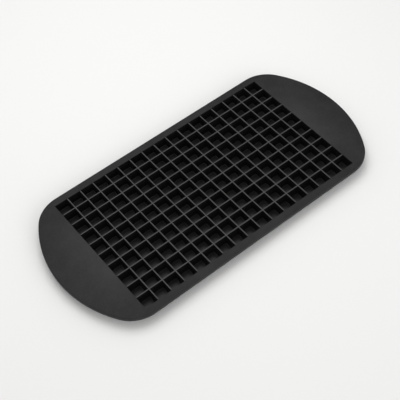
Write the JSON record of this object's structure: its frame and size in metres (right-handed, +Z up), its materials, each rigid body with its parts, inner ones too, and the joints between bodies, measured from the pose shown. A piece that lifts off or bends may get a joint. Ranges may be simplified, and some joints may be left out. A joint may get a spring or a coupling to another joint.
{
  "type": "silicone ice cube tray",
  "caption": "Flexible moulded tray: a grid of small square cells for freezing mini ice cubes, set in a flat rim with a broad rounded flap at each end.",
  "frame": {"origin": "middle of the tray's footprint, on the underside of the cell block that it stands on", "axes": "+X along the tray towards one end flap, +Y across it, +Z up out of the cells"},
  "size_m": [0.251, 0.121, 0.0092],
  "materials": {
    "silicone": "matte moulded silicone, near black"
  },
  "bodies": {
    "root": {"tray": "silicone"}
  },
  "joints": []
}
